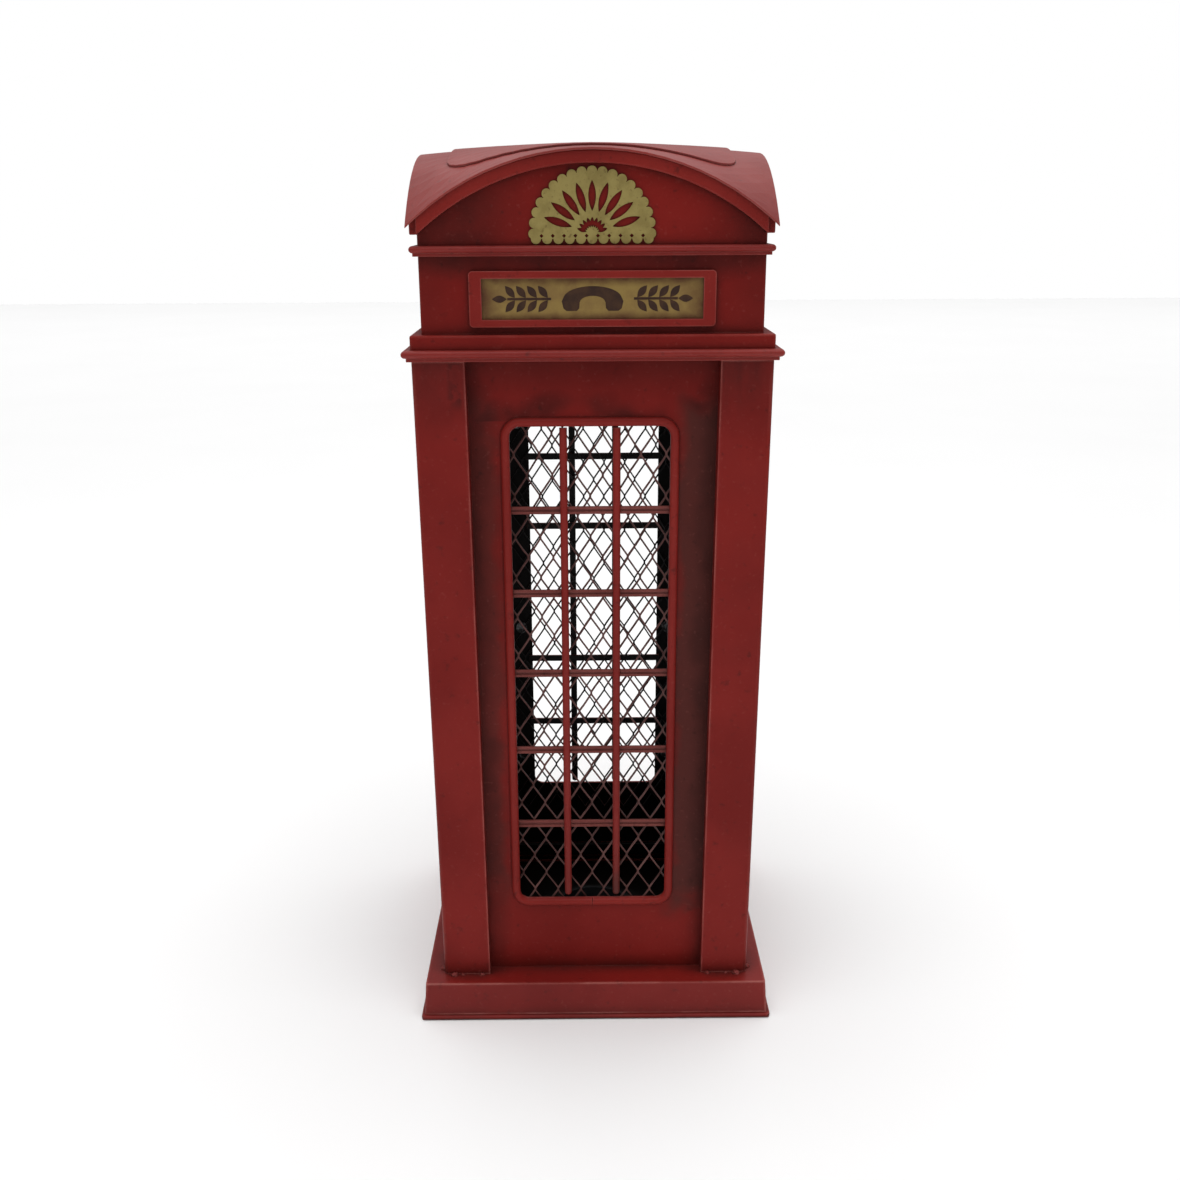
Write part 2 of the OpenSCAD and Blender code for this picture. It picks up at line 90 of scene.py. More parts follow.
def add_world():
    """A room that is dim at eye level and bright overhead, and as bright again below the floor. What
    the camera sees past the floor is plain white."""
    horizon = 0.2
    zenith = 1.52
    world = bpy.data.worlds.new("studio")
    world.use_nodes = True
    scene.world = world
    tree = world.node_tree
    tree.nodes.clear()
    place = tree.nodes.new("ShaderNodeTexCoord")
    split = tree.nodes.new("ShaderNodeSeparateXYZ")
    square = tree.nodes.new("ShaderNodeMath")
    square.operation = "MULTIPLY"
    level = tree.nodes.new("ShaderNodeMapRange")
    level.inputs["To Min"].default_value = horizon
    level.inputs["To Max"].default_value = zenith
    room = tree.nodes.new("ShaderNodeBackground")
    room.inputs["Color"].default_value = (1, 1, 1, 1)
    white = tree.nodes.new("ShaderNodeBackground")
    white.inputs["Color"].default_value = (1, 1, 1, 1)
    path = tree.nodes.new("ShaderNodeLightPath")
    mix = tree.nodes.new("ShaderNodeMixShader")
    out = tree.nodes.new("ShaderNodeOutputWorld")
    for source, target in (
            (place.outputs["Generated"], split.inputs[0]),
            (split.outputs["Z"], square.inputs[0]),
            (split.outputs["Z"], square.inputs[1]),
            (square.outputs[0], level.inputs["Value"]),
            (level.outputs[0], room.inputs["Strength"]),
            (path.outputs["Is Camera Ray"], mix.inputs[0]),
            (room.outputs[0], mix.inputs[1]),
            (white.outputs[0], mix.inputs[2]),
            (mix.outputs[0], out.inputs["Surface"])):
        tree.links.new(source, target)


def add_softbox(name, place, target, size, power):
    """A rectangular lamp at place that shines at target."""
    data = bpy.data.lights.new(name, "AREA")
    data.shape = "RECTANGLE"
    data.size, data.size_y = size
    data.energy = power
    lamp = bpy.data.objects.new(name, data)
    lamp.location = place
    lamp.rotation_euler = (Vector(target) - Vector(place)).to_track_quat("-Z", "Y").to_euler()
    scene.collection.objects.link(lamp)


def add_lights():
    """One lamp over the booth, and one that lights the far floor up to the white behind it."""
    add_softbox("ceiling_box", (0, -0.15, 1.1), (0, 0, 0.1), (0.9, 0.9), 4)
    add_softbox("floor_box", (0, 2.2, 1.3), (0, 2.2, 0), (5.0, 2.2), 12)


def add_floor():
    """A plain pale floor with a faint unevenness."""
    half = 3.0
    darkest, palest = 0.93, 0.96
    mesh = bpy.data.meshes.new("floor")
    mesh.from_pydata([(-half, -half, 0), (half, -half, 0), (half, half, 0), (-half, half, 0)], [],
                     [(0, 1, 2, 3)])
    floor = bpy.data.objects.new("floor", mesh)
    scene.collection.objects.link(floor)
    tree = Tree("floor")
    tone = tree.mix(tree.noise(6, 2), (darkest, darkest, darkest, 1), (palest, palest, palest, 1))
    mesh.materials.append(tree.finish(tone, 0.8))


# ---- material nodes ----
class Tree:
    """A material's node tree, with a call for each kind of node that the finishes use. Lengths are in
    metres, and a noise's scale is how many waves it has in a metre."""

    def __init__(self, name):
        self.material = bpy.data.materials.new(name)
        self.material.use_nodes = True
        self.nodes = self.material.node_tree.nodes
        self.links = self.material.node_tree.links
        self.nodes.clear()
        self.place = self.add("ShaderNodeTexCoord").outputs["Object"]
        self.geometry = self.add("ShaderNodeNewGeometry")
        self.x, self.y, self.z = self.split(self.place)

    def add(self, kind, **settings):
        node = self.nodes.new(kind)
        for key, value in settings.items():
            setattr(node, key, value)
        return node

    def feed(self, socket, value):
        """Links a socket's output, or sets a plain value."""
        if isinstance(value, bpy.types.NodeSocket):
            self.links.new(value, socket)
        else:
            socket.default_value = value

    def split(self, vector):
        node = self.add("ShaderNodeSeparateXYZ")
        self.feed(node.inputs[0], vector)
        return node.outputs

    def math(self, operation, *values):
        node = self.add("ShaderNodeMath", operation=operation)
        for socket, value in zip(node.inputs, values):
            self.feed(socket, value)
        return node.outputs[0]

    def noise(self, scale, detail=3, roughness=0.5, stretch=None):
        node = self.add("ShaderNodeTexNoise")
        place = self.place
        if stretch:
            mapping = self.add("ShaderNodeMapping")
            self.feed(mapping.inputs["Vector"], place)
            mapping.inputs["Scale"].default_value = stretch
            place = mapping.outputs[0]
        self.feed(node.inputs["Vector"], place)
        node.inputs["Scale"].default_value = scale
        node.inputs["Detail"].default_value = detail
        node.inputs["Roughness"].default_value = roughness
        return node.outputs["Fac"]

    def span(self, value, low, high, to_low=0.0, to_high=1.0):
        """Maps low to high smoothly onto to_low to to_high, and stays at the ends beyond them."""
        node = self.add("ShaderNodeMapRange", interpolation_type="SMOOTHSTEP")
        self.feed(node.inputs["Value"], value)
        for name, number in (("From Min", low), ("From Max", high), ("To Min", to_low),
                             ("To Max", to_high)):
            node.inputs[name].default_value = number
        return node.outputs[0]

    def mix(self, factor, first, second):
        node = self.add("ShaderNodeMix", data_type="RGBA")
        self.feed(node.inputs[0], factor)
        self.feed(node.inputs[6], first)
        self.feed(node.inputs[7], second)
        return node.outputs[2]

    def dot(self, first, second):
        node = self.add("ShaderNodeVectorMath", operation="DOT_PRODUCT")
        self.feed(node.inputs[0], first)
        self.feed(node.inputs[1], second)
        return node.outputs["Value"]

    def edges(self, radius):
        """1 on sharp edges and 0 on flat faces."""
        bevel = self.add("ShaderNodeBevel", samples=6)
        bevel.inputs["Radius"].default_value = radius
        facing = self.dot(bevel.outputs[0], self.geometry.outputs["True Normal"])
        return self.span(facing, 0.997, 0.9)

    def crevices(self, reach):
        """1 deep in a corner and 0 in the open."""
        node = self.add("ShaderNodeAmbientOcclusion", samples=8)
        node.inputs["Distance"].default_value = reach
        return self.span(node.outputs["AO"], 0.95, 0.45)

    def inward(self):
        """1 on faces that look towards the booth's axis."""
        flat = self.add("ShaderNodeVectorMath", operation="MULTIPLY")
        self.feed(flat.inputs[0], self.place)
        flat.inputs[1].default_value = (1, 1, 0)
        outwards = self.add("ShaderNodeVectorMath", operation="NORMALIZE")
        self.feed(outwards.inputs[0], flat.outputs[0])
        facing = self.dot(outwards.outputs[0], self.geometry.outputs["True Normal"])
        return self.span(facing, -0.2, -0.4)

    def across(self):
        """Distance from a face's upright middle line, on any of the four sides."""
        return self.math("MINIMUM", self.math("ABSOLUTE", self.x), self.math("ABSOLUTE", self.y))

    def sideways(self):
        """Signed distance from that line, positive to the right of someone who faces the wall."""
        normal = self.split(self.geometry.outputs["True Normal"])
        return self.math("SUBTRACT", self.math("MULTIPLY", self.y, normal[0]),
                         self.math("MULTIPLY", self.x, normal[1]))

    def within(self, limit, facing):
        """1 on faces that look up (facing 1) or down (-1) inside a square of half width limit."""
        normal = self.split(self.geometry.outputs["True Normal"])
        turned = self.math("GREATER_THAN", self.math("MULTIPLY", normal[2], facing), 0.2)
        reach = self.math("MAXIMUM", self.math("ABSOLUTE", self.x), self.math("ABSOLUTE", self.y))
        return self.math("MULTIPLY", turned, self.math("LESS_THAN", reach, limit))

    def finish(self, colour, roughness, bumps=(), **constants):
        """The shader. bumps are (height, depth in metres) pairs, coarse first."""
        shader = self.add("ShaderNodeBsdfPrincipled")
        self.feed(shader.inputs["Base Color"], colour)
        self.feed(shader.inputs["Roughness"], roughness)
        for name, number in constants.items():
            shader.inputs[name.replace("_", " ")].default_value = number
        normal = None
        for height, depth in bumps:
            bump = self.add("ShaderNodeBump")
            self.feed(bump.inputs["Height"], height)
            bump.inputs["Distance"].default_value = depth
            if normal:
                self.feed(bump.inputs["Normal"], normal)
            normal = bump.outputs[0]
        if normal:
            self.feed(shader.inputs["Normal"], normal)
        out = self.add("ShaderNodeOutputMaterial")
        self.links.new(shader.outputs[0], out.inputs["Surface"])
        return self.material


# ---- finishes ----
# This dark brown is painted shade in corners, recesses and overhangs, and also the colour of dark specks
# of soot
SHADE_AND_SOOT = (0.020, 0.0052, 0.0040, 1)
# This black colours the faces inside the booth
INSIDE_BLACK = (0.0032, 0.0018, 0.0015, 1)
# This pale pink is the colour of fine dust specks, and also of paler edges that are partly rubbed paint
# and partly painted highlight
DUST_AND_HIGHLIGHT = (0.42, 0.13, 0.11, 1)
SCRATCH = (0.11, 0.075, 0.07, 1)
WASH = (0.080, 0.017, 0.0135, 1)
RED = ((0.165, 0.0075, 0.0055, 1), (0.215, 0.0115, 0.0085, 1))
# A lighter copy of the red for the beads, bands, frames, rims and roof, which stand out and face the
# light: painted light
LIT_RED = ((0.195, 0.012, 0.009, 1), (0.245, 0.018, 0.0135, 1))
BARS = ((0.12, 0.020, 0.016, 1), (0.17, 0.040, 0.033, 1))

# Fine marks in the enamel: a noise's scale, detail and roughness, the two levels between which a mark
# grows from nothing to its full share, that share, and its colour
SPECKS = (
    (900, 2, 0.5, 0.6, 0.78, 0.08, DUST_AND_HIGHLIGHT),
    (420, 3, 0.6, 0.6, 0.78, 0.45, SHADE_AND_SOOT),
    (150, 2, 0.5, 0.785, 0.805, 0.7, SCRATCH),
)


def paint(name, reds, darkening=None, darkening_depth=0.7, wear_and_highlight=0.5, bright_edge_width=0.6 * MM, shine=0.15, wash=None,
          hidden=None):
    """Satin red enamel: uneven between two reds, with painted shade in the corners from an ambient
    occlusion mask, and paler edges, partly rubbed paint and partly painted highlight. darkening, if
    given, is a function of the tree that adds a mask of its own, and wash is one that says where the
    enamel is stained brown. hidden says which faces are black like the inside; without it those facing
    the axis are."""
    corner = 7 * MM
    tree = Tree(name)
    cloud = tree.noise(22, 4, 0.55)
    patch = tree.noise(70, 3, 0.6)
    colour = tree.mix(tree.span(cloud, 0.35, 0.65), *reds)
    if wash:
        colour = tree.mix(wash(tree), colour, WASH)
    # Painted shade: the enamel darkens towards the dark brown deep in corners, found by ambient
    # occlusion, and along the extra darkening mask
    dark = tree.crevices(corner)
    if darkening:
        dark = tree.math("MAXIMUM", dark, darkening(tree))
    dark = tree.math("MULTIPLY", dark, tree.span(patch, 0.25, 0.7, 0.55 * darkening_depth, darkening_depth))
    colour = tree.mix(dark, colour, SHADE_AND_SOOT)
    # Paler edges, found by the bevel mask: partly rubbed paint and partly painted highlight
    worn_and_highlit = tree.math("MULTIPLY", tree.edges(bright_edge_width), tree.span(patch, 0.38, 0.62, 0.4 * wear_and_highlight, wear_and_highlight))
    colour = tree.mix(worn_and_highlit, colour, DUST_AND_HIGHLIGHT)
    for scale, detail, roughness, start, full, share, tone in SPECKS:
        speck = tree.span(tree.noise(scale, detail, roughness), start, full, 0, share)
        colour = tree.mix(speck, colour, tone)
    # The faces inside the booth are black
    colour = tree.mix(hidden(tree) if hidden else tree.inward(), colour, INSIDE_BLACK)
    gloss = tree.span(cloud, 0.3, 0.7, 0.52, 0.42)
    gloss = tree.math("ADD", gloss, tree.math("MULTIPLY", dark, 0.15))
    dents = tree.noise(38, 2)
    peel = tree.noise(1300, 2)
    return tree.finish(colour, gloss, ((dents, 1.2 * MM), (peel, 0.03 * MM)),
                       Specular_IOR_Level=shine)


def panel_shade_and_overspray(tree):
    """Darkening at both edges of a panel beside the proud posts, along the top under the cornice and
    along the foot, partly painted shade and partly airbrushed overspray, and overspray alone over the
    window's rim.
    """
    drift = tree.span(tree.noise(45, 3, 0.6), 0.3, 0.7, -3 * MM, 3 * MM)
    side = tree.span(tree.math("ADD", tree.across(), drift), 25 * MM, 31 * MM, 0, 0.7)
    head = tree.span(tree.z, PANEL_HIGH.z - 17 * MM, PANEL_HIGH.z - 6 * MM, 0, 0.5)
    foot = tree.span(tree.z, PANEL_LOW.z + 5 * MM, PANEL_LOW.z, 0, 0.5)
    halo = tree.span(tree.math("ADD", tree.z, drift), RIM_HIGH.z + 7 * MM, RIM_HIGH.z + 1 * MM, 0, 0.9)
    halo = tree.math("MULTIPLY", halo, tree.math("GREATER_THAN", tree.z, RIM_HIGH.z - 1 * MM))
    halo = tree.math("MULTIPLY", halo, tree.span(tree.noise(60, 2), 0.35, 0.55))
    mask = tree.math("MAXIMUM", side, head)
    return tree.math("MAXIMUM", mask, tree.math("MAXIMUM", foot, halo))


def panel_wash(tree):
    """A brown stain down the strip to the right of the window, and a weaker one on the left."""
    drift = tree.span(tree.noise(60, 3, 0.6), 0.3, 0.7, -2 * MM, 2 * MM)
    across = tree.math("ADD", tree.sideways(), drift)
    right = tree.span(across, 19 * MM, 24 * MM, 0, 0.95)
    left = tree.span(across, -23 * MM, -27 * MM, 0, 0.6)
    height = tree.math("ADD", tree.z, tree.math("MULTIPLY", drift, 3))
    window = tree.math("MULTIPLY", tree.span(height, RIM_LOW.z - 6 * MM, RIM_LOW.z + 8 * MM),
                       tree.span(height, RIM_HIGH.z + 12 * MM, RIM_HIGH.z - 6 * MM))
    return tree.math("MULTIPLY", tree.math("MAXIMUM", left, right), window)


def foot_wash(tree):
    """Brown stains at the foot of the window's uprights."""
    low = tree.span(tree.z, RIM_LOW.z + 28 * MM, RIM_LOW.z + 2 * MM)
    return tree.math("MULTIPLY", low, tree.span(tree.noise(55, 3, 0.6), 0.35, 0.6, 0.3, 0.95))


def post_shade_and_smudge(tree):
    """Darkening below the cornice, drawn out in short streaks, partly painted shade under the cornice's
    bead and partly airbrushed overspray, and a smudge on the left post.
    """
    streak = tree.noise(120, 3, 0.6, stretch=(1, 1, 0.25))
    head = tree.span(tree.z, POST_HIGH.z - 22 * MM, POST_HIGH.z - 1 * MM, 0, 0.75)
    head = tree.math("MULTIPLY", head, tree.span(streak, 0.35, 0.6, 0.55, 1.2))
    across = tree.sideways()
    smudge = tree.math("MULTIPLY", tree.span(across, -38 * MM, -35.5 * MM),
                       tree.span(across, -32 * MM, -33.5 * MM))
    high_up = tree.span(tree.z, POST_HIGH.z - 14 * MM, POST_HIGH.z - 9 * MM)
    smudge = tree.math("MULTIPLY", smudge, high_up)
    smudge = tree.math("MULTIPLY", smudge, tree.span(tree.noise(210, 3, 0.6), 0.35, 0.5, 0.3, 1.1))
    return tree.math("MAXIMUM", head, smudge)


def frieze_shade_and_overspray(tree):
    """Darkening below the string course, above the cornice and towards the corners, partly painted shade
    and partly airbrushed overspray.
    """
    head = tree.span(tree.z, FRIEZE_HIGH.z - 9 * MM, FRIEZE_HIGH.z - 2 * MM, 0, 1.0)
    foot = tree.span(tree.z, FRIEZE_LOW.z + 3 * MM, FRIEZE_LOW.z, 0, 0.6)
    side = tree.span(tree.across(), 31 * MM, 41 * MM, 0, 0.35)
    return tree.math("MAXIMUM", head, tree.math("MAXIMUM", foot, side))


def gable_shade(tree):
    """Darkening in the narrow ends under the arch, heavier on the left: painted shade."""
    across = tree.sideways()
    left = tree.span(across, -12 * MM, -32 * MM, 0, 0.95)
    right = tree.span(across, 24 * MM, 40 * MM, 0, 0.7)
    return tree.math("MAXIMUM", left, right)


def cabin_floor(tree):
    return tree.within(FLOOR_LIMIT, 1)


def cabin_walls(tree):
    return tree.math("MAXIMUM", tree.inward(), tree.within(CABIN_LIMIT, 1))


def roof_underside(tree):
    return tree.within(ROOF_LIMIT, -1)


def nowhere(tree):
    return 0.0


def gold_plate():
    """Aged gold foil, browner towards the edges of the plate."""
    tree = Tree("gold_plate")
    half_w = (PLATE_HIGH.x - PLATE_LOW.x) / 2
    half_h = (PLATE_HIGH.z - PLATE_LOW.z) / 2
    mid = (PLATE_HIGH.z + PLATE_LOW.z) / 2
    side = tree.span(tree.across(), half_w - 5 * MM, half_w)
    rise = tree.math("ABSOLUTE", tree.math("SUBTRACT", tree.z, mid))
    edge = tree.math("MAXIMUM", side, tree.span(rise, half_h - 2.4 * MM, half_h))
    blotch = tree.noise(160, 4, 0.6)
    edge = tree.math("MULTIPLY", edge, tree.span(blotch, 0.3, 0.7, 0.6, 1.0))
    colour = tree.mix(tree.span(blotch, 0.35, 0.7), (0.30, 0.20, 0.055, 1), (0.23, 0.14, 0.045, 1))
    colour = tree.mix(edge, colour, (0.10, 0.035, 0.014, 1))
    gloss = tree.span(blotch, 0.3, 0.7, 0.42, 0.6)
    return tree.finish(colour, gloss, ((tree.noise(1500, 2), 0.02 * MM),), Metallic=0.35,
                       Specular_IOR_Level=0.35)


def gold_paint():
    """Dull gold with a speckled, slightly green tone."""
    tree = Tree("gold_paint")
    blotch = tree.noise(240, 4, 0.6)
    colour = tree.mix(tree.span(blotch, 0.35, 0.65), (0.34, 0.27, 0.085, 1), (0.26, 0.20, 0.06, 1))
    speck = tree.span(tree.noise(1200, 2), 0.6, 0.75, 0, 0.5)
    colour = tree.mix(speck, colour, (0.11, 0.06, 0.02, 1))
    gloss = tree.span(blotch, 0.3, 0.7, 0.45, 0.62)
    return tree.finish(colour, gloss, ((tree.noise(1500, 2), 0.02 * MM),), Metallic=0.3,
                       Specular_IOR_Level=0.35)


def print_ink():
    """Brown-black ink, slightly uneven."""
    tree = Tree("print_ink")
    blotch = tree.noise(500, 3)
    colour = tree.mix(tree.span(blotch, 0.35, 0.7), (0.030, 0.010, 0.004, 1), (0.055, 0.022, 0.008, 1))
    return tree.finish(colour, tree.span(blotch, 0.3, 0.7, 0.45, 0.6),
                       ((tree.noise(1800, 2), 0.01 * MM),), Specular_IOR_Level=0.3)


def mesh_paint():
    """Thin dark enamel over the expanded mesh, black towards the inside."""
    tree = Tree("mesh_paint")
    blotch = tree.noise(120, 3)
    colour = tree.mix(tree.span(blotch, 0.35, 0.65), (0.060, 0.020, 0.017, 1), (0.125, 0.052, 0.046, 1))
    colour = tree.mix(tree.inward(), colour, INSIDE_BLACK)
    return tree.finish(colour, tree.span(blotch, 0.3, 0.7, 0.45, 0.6),
                       ((tree.noise(2500, 2), 0.02 * MM),), Specular_IOR_Level=0.3)


def solder():
    """Tinned solder, mostly black like the inside."""
    tree = Tree("solder")
    blotch = tree.noise(420, 3)
    colour = tree.mix(tree.span(blotch, 0.45, 0.6), INSIDE_BLACK, (0.16, 0.16, 0.165, 1))
    return tree.finish(colour, tree.span(blotch, 0.3, 0.7, 0.35, 0.6),
                       ((tree.noise(900, 3), 0.1 * MM),), Metallic=0.2)


def rubber():
    """Matt black rubber, greyer along its edges."""
    tree = Tree("rubber")
    blotch = tree.noise(90, 4)
    colour = tree.mix(tree.span(blotch, 0.35, 0.65), (0.006, 0.006, 0.0065, 1), (0.015, 0.015, 0.016, 1))
    colour = tree.mix(tree.edges(0.5 * MM), colour, (0.035, 0.035, 0.037, 1))
    return tree.finish(colour, tree.span(blotch, 0.3, 0.7, 0.5, 0.7),
                       ((tree.noise(1100, 3), 0.04 * MM),), Specular_IOR_Level=0.15)


def dress(obj, finish):
    """Gives every face of a piece one finish."""
    obj.data.materials.clear()
    obj.data.materials.append(finish)


def soften(obj, width):
    """Rounds the sharp edges of a CAD piece as folding and paint do."""
    weld = obj.modifiers.new("weld", "WELD")
    weld.merge_threshold = 1e-6
    bevel = obj.modifiers.new("soft_edges", "BEVEL")
    bevel.width = width
    bevel.segments = 2
    bevel.limit_method = "ANGLE"
    bevel.angle_limit = math.radians(40)
    bevel.harden_normals = False


def finish_cad_nodes():
    """Each kind of node has a finish, and a width in millimetres to which its edges are rounded."""
    finishes = {
        "post": (paint("paint_post", RED, post_shade_and_smudge, wear_and_highlight=0.8, bright_edge_width=0.9 * MM, hidden=nowhere), 0.15),
        "panel": (paint("paint_panel", RED, panel_shade_and_overspray, shine=0.12, wash=panel_wash), 0.1),
        "window_rim": (paint("paint_rim", LIT_RED, wear_and_highlight=0.3), 0.0),
        "uprights": (paint("paint_upright", LIT_RED, wear_and_highlight=0.3, shine=0.2, wash=foot_wash), 0.08),
        "crossbars": (paint("paint_crossbar", BARS, darkening_depth=0.4, shine=0.2), 0.12),
        "sign_frame": (paint("paint_sign_frame", LIT_RED, darkening_depth=0.4, wear_and_highlight=0.4), 0.3),
        "sign_plate": (gold_plate(), 0.0),
        "gable": (paint("paint_gable", RED, gable_shade, shine=0.12), 0.0),
        "arch_band": (paint("paint_arch_band", LIT_RED, darkening_depth=0.15, wear_and_highlight=0.3), 0.3),
        "ornament": (gold_paint(), 0.08),
        "solder_tabs": (solder(), 0.2),
        "cornice_band": (paint("paint_cornice", RED, darkening_depth=0.5, bright_edge_width=0.9 * MM, shine=0.12), 0.4),
        "cornice_bead": (paint("paint_bead", LIT_RED, darkening_depth=0.6, bright_edge_width=0.35 * MM, shine=0.25), 0.15),
        "string_bead": (paint("paint_string", LIT_RED, darkening_depth=0.6, bright_edge_width=0.35 * MM, shine=0.25), 0.12),
        "frieze": (paint("paint_frieze", RED, frieze_shade_and_overspray, shine=0.12), 0.2),
        "roof_sheet": (paint("paint_roof", LIT_RED, shine=0.42, hidden=roof_underside), 0.12),
        "roof_cap": (paint("paint_roof_cap", LIT_RED, shine=0.42, hidden=nowhere), 0.15),
        "plinth": (paint("paint_plinth", RED, shine=0.25, wear_and_highlight=0.9, bright_edge_width=1.1 * MM,
                         hidden=cabin_walls), 0.3),
        "base_plate": (paint("paint_base", RED, shine=0.2, hidden=cabin_floor), 0.0),
        "stopper": (rubber(), 0.15),
    }
    for name, obj in nodes.items():
        kind = max((k for k in finishes if name.startswith(k)), key=len, default=None)
        if kind:
            finish, width = finishes[kind]
            dress(obj, finish)
            if width:
                soften(obj, width * MM)


# ---- pieces ----
def new_piece(name, mesh, finish, body="booth"):
    obj = bpy.data.objects.new(name, mesh)
    scene.collection.objects.link(obj)
    mesh.materials.append(finish)
    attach(obj, body)
    return obj


def to_mesh(name, grid):
    mesh = bpy.data.meshes.new(name)
    grid.to_mesh(mesh)
    grid.free()
    return mesh


def quarter_turn(i):
    """Turns what is made for the front to side i."""
    return Matrix.Rotation(math.radians(90 * i), 4, "Z")


def expanded_mesh(name, turn, seed):
    """Expanded metal. Each opening is a diamond whose side corners are cut upright, because the
    strands run together there for a short way, and each strand leans so that one edge stands forward."""
    diamond_w = 6.6 * MM
    diamond_h = 11 * MM
    bond = 0.6 * MM
    bond_strand = 1.25
    lean = 0.2 * MM
    wander = 0.12 * MM
    wave_x, wave_z = 4 * MM, 5 * MM
    steps = 3
    weld = 0.002 * MM
    middle = (MESH_HIGH.x + MESH_LOW.x) / 2
    mid = (MESH_HIGH.z + MESH_LOW.z) / 2
    depth = (MESH_HIGH.y + MESH_LOW.y) / 2
    thick = (MESH_HIGH.y - MESH_LOW.y) / 2
    outer_face, inner_face = 0.8 * thick, 0.56 * thick
    cols = round((MESH_HIGH.x - MESH_LOW.x) / 2 / diamond_w)
    rows = round((MESH_HIGH.z - MESH_LOW.z) / 2 / diamond_h)
    strand = (MESH_HIGH.x - MESH_LOW.x) / 2 - cols * diamond_w
    half_w = diamond_w / 2
    rise = diamond_h / 2 - bond
    slope = math.hypot(half_w, rise) / half_w

    def opening(inset, bond_inset):
        """Corners of a cell, drawn in from its border by half a strand."""
        side = half_w - bond_inset
        shoulder = bond / 2 + bond_inset * rise / half_w - inset * slope
        peak = bond / 2 + rise - inset * slope
        return [(side, -shoulder), (side, shoulder), (0, peak), (-side, shoulder), (-side, -shoulder),
                (0, -peak)]

    def around(corners):
        """The corners with points added along each edge, so that it can wander."""
        points = []
        for k, (ax, az) in enumerate(corners):
            bx, bz = corners[(k + 1) % len(corners)]
            points += [(ax + (bx - ax) * s / steps, az + (bz - az) * s / steps) for s in range(steps)]
        return points

    outer = around(opening(0, 0))
    inner = around(opening(strand, bond_strand * strand))
    centres = [(i * diamond_w, j * diamond_h) for i in range(1 - cols, cols)
               for j in range(1 - rows, rows)]
    centres += [((i + 0.5) * diamond_w, (j + 0.5) * diamond_h) for i in range(-cols, cols)
                for j in range(-rows, rows)]
    grid = bmesh.new()

    def ring(points, cx, cz, out, leaning):
        """One outline of a cell, out from the sheet's middle, leaning at its sides."""
        verts = []
        for x, z in points:
            place = Vector(((cx + x) / wave_x, (cz + z) / wave_z, seed))
            y = depth + out + leaning * x / half_w * lean
            verts.append(grid.verts.new((middle + cx + x + wander * noise.noise(place), y,
                                         mid + cz + z + wander * noise.noise(place + Vector((9, 4, 2))))))
        return verts

    count = len(outer)
    for cx, cz in centres:
        rings = [ring(outer, cx, cz, -outer_face, 0), ring(inner, cx, cz, -inner_face, 1),
                 ring(inner, cx, cz, inner_face, 1), ring(outer, cx, cz, outer_face, 0)]
        for first, second in zip(rings, rings[1:]):
            for k in range(count):
                n = (k + 1) % count
                grid.faces.new((first[k], second[k], second[n], first[n]))
    bmesh.ops.remove_doubles(grid, verts=grid.verts, dist=weld)
    borders = [e for e in grid.edges if e.is_boundary]
    bmesh.ops.bridge_loops(grid, edges=borders)
    bmesh.ops.recalc_face_normals(grid, faces=grid.faces)
    grid.transform(turn)
    return to_mesh(name, grid)


def arc(wide, high, start, stop, count, drop=0.0):
    """Points of an oval arc round the origin, lowered by drop, from start to stop degrees."""
    angles = [math.radians(start + (stop - start) * k / count) for k in range(count + 1)]
    return [(wide * math.cos(a), high * math.sin(a) - drop) for a in angles]


def leaf(length, width, count=7):
    """Outline of a pointed leaf along +X from the origin."""
    upper = [(length * k / count, width / 2 * math.sin(math.pi * k / count)) for k in range(count + 1)]
    lower = [(x, -y) for x, y in reversed(upper[1:-1])]
    return upper + lower


def handset():
    """Outline of a telephone handset from the side: two cups joined by an arched handle."""
    left_cup = [(-7.6 * MM, -0.6 * MM), (-7.2 * MM, -2.3 * MM), (-6.4 * MM, -2.9 * MM),
                (-3.9 * MM, -2.9 * MM), (-3.3 * MM, -2.3 * MM), (-3.2 * MM, -0.9 * MM)]
    right_cup = [(-x, y) for x, y in reversed(left_cup)]
    back = arc(7.2 * MM, 3.0 * MM, 12, 168, 18)
    grip = arc(-3.1 * MM, 1.5 * MM, 20, 160, 8, drop=0.8 * MM)
    return back + left_cup + grip + right_cup


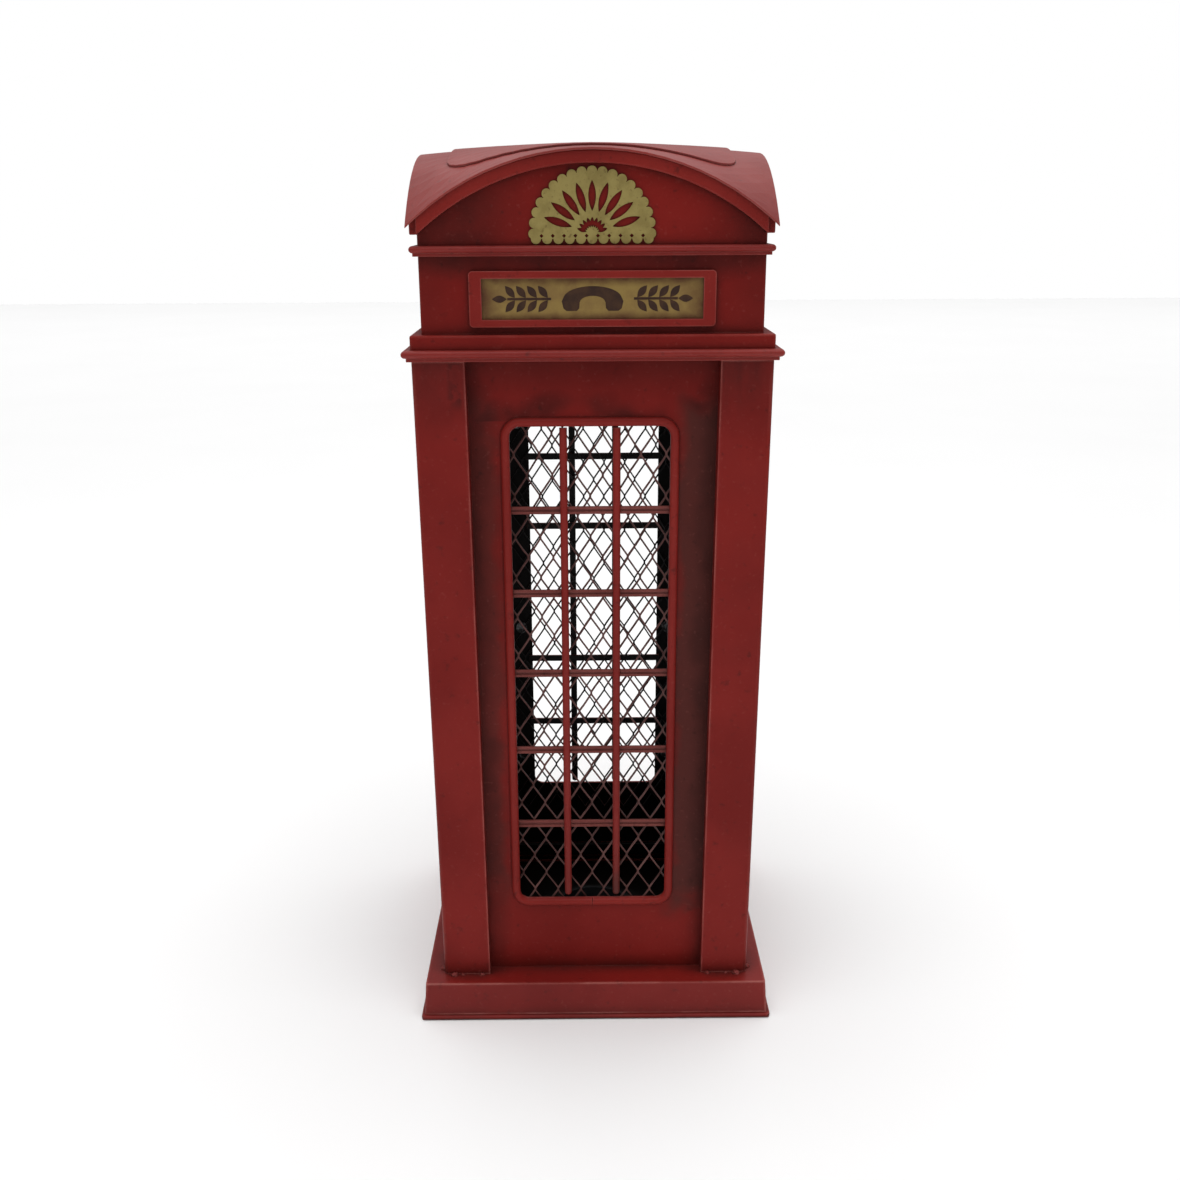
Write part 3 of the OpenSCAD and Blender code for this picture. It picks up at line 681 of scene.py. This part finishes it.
def sign_print(name, turn):
    """A handset between two leafy sprigs, printed a little proud of the plate."""
    proud = 0.06 * MM
    face = PLATE_LOW.y
    mid = (PLATE_HIGH.z + PLATE_LOW.z) / 2
    start, stop = 10.2 * MM, 21.0 * MM
    stem = 0.3 * MM
    leaf_l, leaf_w = 3.7 * MM, 1.75 * MM
    pairs = 4
    first_pair = 0.3
    tip_gap = 0.1 * MM
    splay = math.radians(50)
    grid = bmesh.new()

    def raise_outline(points, angle=0.0, at=(0.0, 0.0)):
        """Turns an outline, moves it to a place on the plate and gives it a thickness."""
        c, s = math.cos(angle), math.sin(angle)
        flat = [(at[0] + x * c - y * s, at[1] + x * s + y * c) for x, y in points]
        front = [grid.verts.new((x, face - proud, mid + z)) for x, z in flat]
        back = [grid.verts.new((x, face, mid + z)) for x, z in flat]
        grid.faces.new(front)
        grid.faces.new(list(reversed(back)))
        n = len(front)
        for k in range(n):
            grid.faces.new((front[k], back[k], back[(k + 1) % n], front[(k + 1) % n]))

    raise_outline(handset())
    for side in (-1, 1):
        raise_outline([(side * start, -stem), (side * stop, -stem), (side * stop, stem),
                       (side * start, stem)][::side])
        for k in range(pairs):
            at = start + (stop - start) * (k + first_pair) / pairs
            for up in (-1, 1):
                angle = up * splay if side > 0 else math.pi - up * splay
                raise_outline(leaf(leaf_l, leaf_w), angle, (side * at, up * stem))
        tip = math.pi if side < 0 else 0.0
        raise_outline(leaf(leaf_l, leaf_w), tip, (side * (stop + tip_gap), 0))
    bmesh.ops.triangulate(grid, faces=[f for f in grid.faces if len(f.verts) > 4])
    bmesh.ops.recalc_face_normals(grid, faces=grid.faces)
    grid.transform(turn)
    return to_mesh(name, grid)


def blob(grid, centre, size, seed, floor):
    """A lump of solder: a squashed ball with a wandering surface, flat where it lies on the floor."""
    unevenness = 0.22
    wave = 1.7
    start = len(grid.verts)
    bmesh.ops.create_icosphere(grid, subdivisions=3, radius=1)
    grid.verts.ensure_lookup_table()
    for vert in grid.verts[start:]:
        wobble = 1 + unevenness * noise.noise(vert.co * wave + Vector((seed, 0, 0)))
        place = Vector(centre) + Vector(a * b * wobble for a, b in zip(vert.co, size))
        place.z = max(place.z, floor)
        vert.co = place


def add_windows():
    finish = mesh_paint()
    for i, side in enumerate(SIDES):
        mesh = expanded_mesh(f"mesh_{side}", quarter_turn(i), 3 * i)
        piece = new_piece(f"mesh_{side}", mesh, finish)
        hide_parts(f"window_mesh_{side}")


def add_sign_prints():
    finish = print_ink()
    for i, side in enumerate(SIDES):
        new_piece(f"sign_print_{side}", sign_print(f"sign_print_{side}", quarter_turn(i)), finish)


def add_foot_solder():
    """Lumps of solder under the paint, where the feet of the posts meet the plinth."""
    finish = paint("paint_solder", RED, shine=0.3, wear_and_highlight=0.3, hidden=nowhere)
    # How far along a side each lump lies, and its half length
    lumps = ((-41, 1.1), (-38.6, 0.6), (-33, 0.7), (32.6, 0.75), (38, 0.5), (41, 1.1))
    out = SOLDER_HIGH.x - 0.85 * MM
    grid = bmesh.new()
    for turn in range(4):
        for k, (across, size) in enumerate(lumps):
            centre = quarter_turn(turn) @ Vector((across * MM, -out, SOLDER_LOW.z))
            lump = size * MM
            blob(grid, centre, (lump, lump * 0.9, lump * 0.8), 10 * turn + k, SOLDER_LOW.z)
    piece = new_piece("solder_lumps", to_mesh("solder_lumps", grid), finish)
    for face in piece.data.polygons:
        face.use_smooth = True
    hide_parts("foot_solder")


# ---- the scene ----
add_camera()
add_world()
add_lights()
add_floor()
finish_cad_nodes()
add_windows()
add_sign_prints()
add_foot_solder()
scene.view_settings.view_transform = "Standard"
